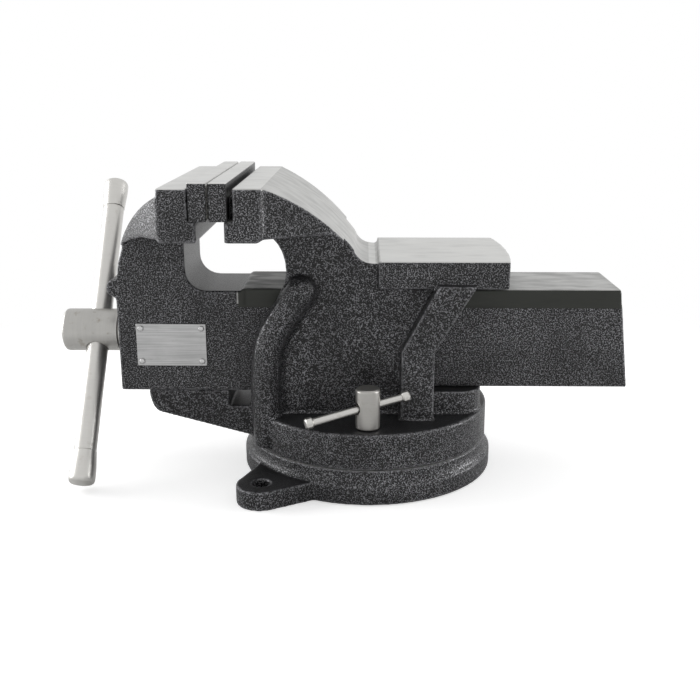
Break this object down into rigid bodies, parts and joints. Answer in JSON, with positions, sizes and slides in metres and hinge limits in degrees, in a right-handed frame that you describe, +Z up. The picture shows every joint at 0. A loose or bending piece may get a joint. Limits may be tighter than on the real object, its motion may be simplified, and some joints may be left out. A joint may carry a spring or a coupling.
{
  "type": "swivel bench vise with anvil",
  "caption": "Swivel bench vise: moving jaw on a hollow slide bar, screw spindle with sliding handle, flat anvil, round swivel base with bolt ears and two clamp nuts.",
  "frame": {"origin": "centre of the swivel base's flat underside", "axes": "+Z up from the bench, +X along the slide bar towards its rear end, handle at -X, jaws 150 mm wide along Y"},
  "size_m": [0.367, 0.1828, 0.1934],
  "materials": {
    "hammertone_iron": "dark grey hammertone paint on cast iron, with machined tops",
    "machined_iron": "machined",
    "satin_steel": "satin",
    "dark_steel": "blackened",
    "plate_aluminium": "satin"
  },
  "bodies": {
    "base": {"swivel_base": "hammertone_iron"},
    "fixed_body": {"fixed_jaw": "hammertone_iron", "jaw_plate_fixed": "hammertone_iron", "jaw_screw_fixed_near": "dark_steel", "jaw_screw_fixed_far": "dark_steel", "spindle_nut": "machined_iron", "nut_bolt": "dark_steel", "pivot_screw": "dark_steel", "pivot_washer": "satin_steel", "lock_bolt_near": "dark_steel", "lock_bolt_far": "dark_steel"},
    "moving_body": {"moving_jaw": "hammertone_iron", "jaw_plate_moving": "hammertone_iron", "jaw_screw_moving_near": "dark_steel", "jaw_screw_moving_far": "dark_steel", "name_plate": "plate_aluminium", "name_plate_rivet_1": "plate_aluminium", "name_plate_rivet_2": "plate_aluminium", "name_plate_rivet_3": "plate_aluminium", "name_plate_rivet_4": "plate_aluminium"},
    "spindle_body": {"spindle": "satin_steel", "thrust_washer": "satin_steel", "spindle_collar": "dark_steel", "collar_pin": "satin_steel"},
    "handle_body": {"handle_bar": "satin_steel", "handle_knob_upper": "satin_steel", "handle_knob_lower": "satin_steel"},
    "lock_nut_body_near": {"lock_nut_near": "satin_steel"},
    "lock_bar_body_near": {"lock_near_bar": "satin_steel", "lock_near_knob_upper": "satin_steel", "lock_near_knob_lower": "satin_steel"},
    "lock_nut_body_far": {"lock_nut_far": "satin_steel"},
    "lock_bar_body_far": {"lock_far_bar": "satin_steel", "lock_far_knob_upper": "satin_steel", "lock_far_knob_lower": "satin_steel"}
  },
  "joints": [
    {"name": "swivel", "type": "hinge", "parent": "base", "child": "fixed_body", "pos_m": [0, 0, 0.0213], "axis": [0, 0, 1], "continuous": true},
    {"name": "jaw_slide", "type": "slide", "parent": "fixed_body", "child": "moving_body", "axis": [-1, 0, 0], "range_m": [0, 0.15]},
    {"name": "spindle_turn", "type": "hinge", "parent": "moving_body", "child": "spindle_body", "pos_m": [-0.179, 0, 0.0888], "axis": [-1, 0, 0], "range_deg": [0, 10800]},
    {"name": "handle_slide", "type": "slide", "parent": "spindle_body", "child": "handle_body", "axis": [0, 0.6157, 0.788], "range_m": [-0.078, 0.069]},
    {"name": "lock_turn_near", "type": "hinge", "parent": "fixed_body", "child": "lock_nut_body_near", "pos_m": [0, -0.0665, 0.058], "axis": [0, 0, 1], "range_deg": [-32, 0]},
    {"name": "lock_bar_slide_near", "type": "slide", "parent": "lock_nut_body_near", "child": "lock_bar_body_near", "axis": [0.9368, 0.3037, 0.1736], "range_m": [-0.014, 0.004]},
    {"name": "lock_turn_far", "type": "hinge", "parent": "fixed_body", "child": "lock_nut_body_far", "pos_m": [0, 0.0665, 0.058], "axis": [0, 0, 1], "range_deg": [0, 32]},
    {"name": "lock_bar_slide_far", "type": "slide", "parent": "lock_nut_body_far", "child": "lock_bar_body_far", "axis": [0.9368, -0.3037, 0.1736], "range_m": [-0.014, 0.004]}
  ],
  "couplings": [
    {"joint": "jaw_slide", "follows": "spindle_turn", "m_per_rad": 0.00079577}
  ]
}
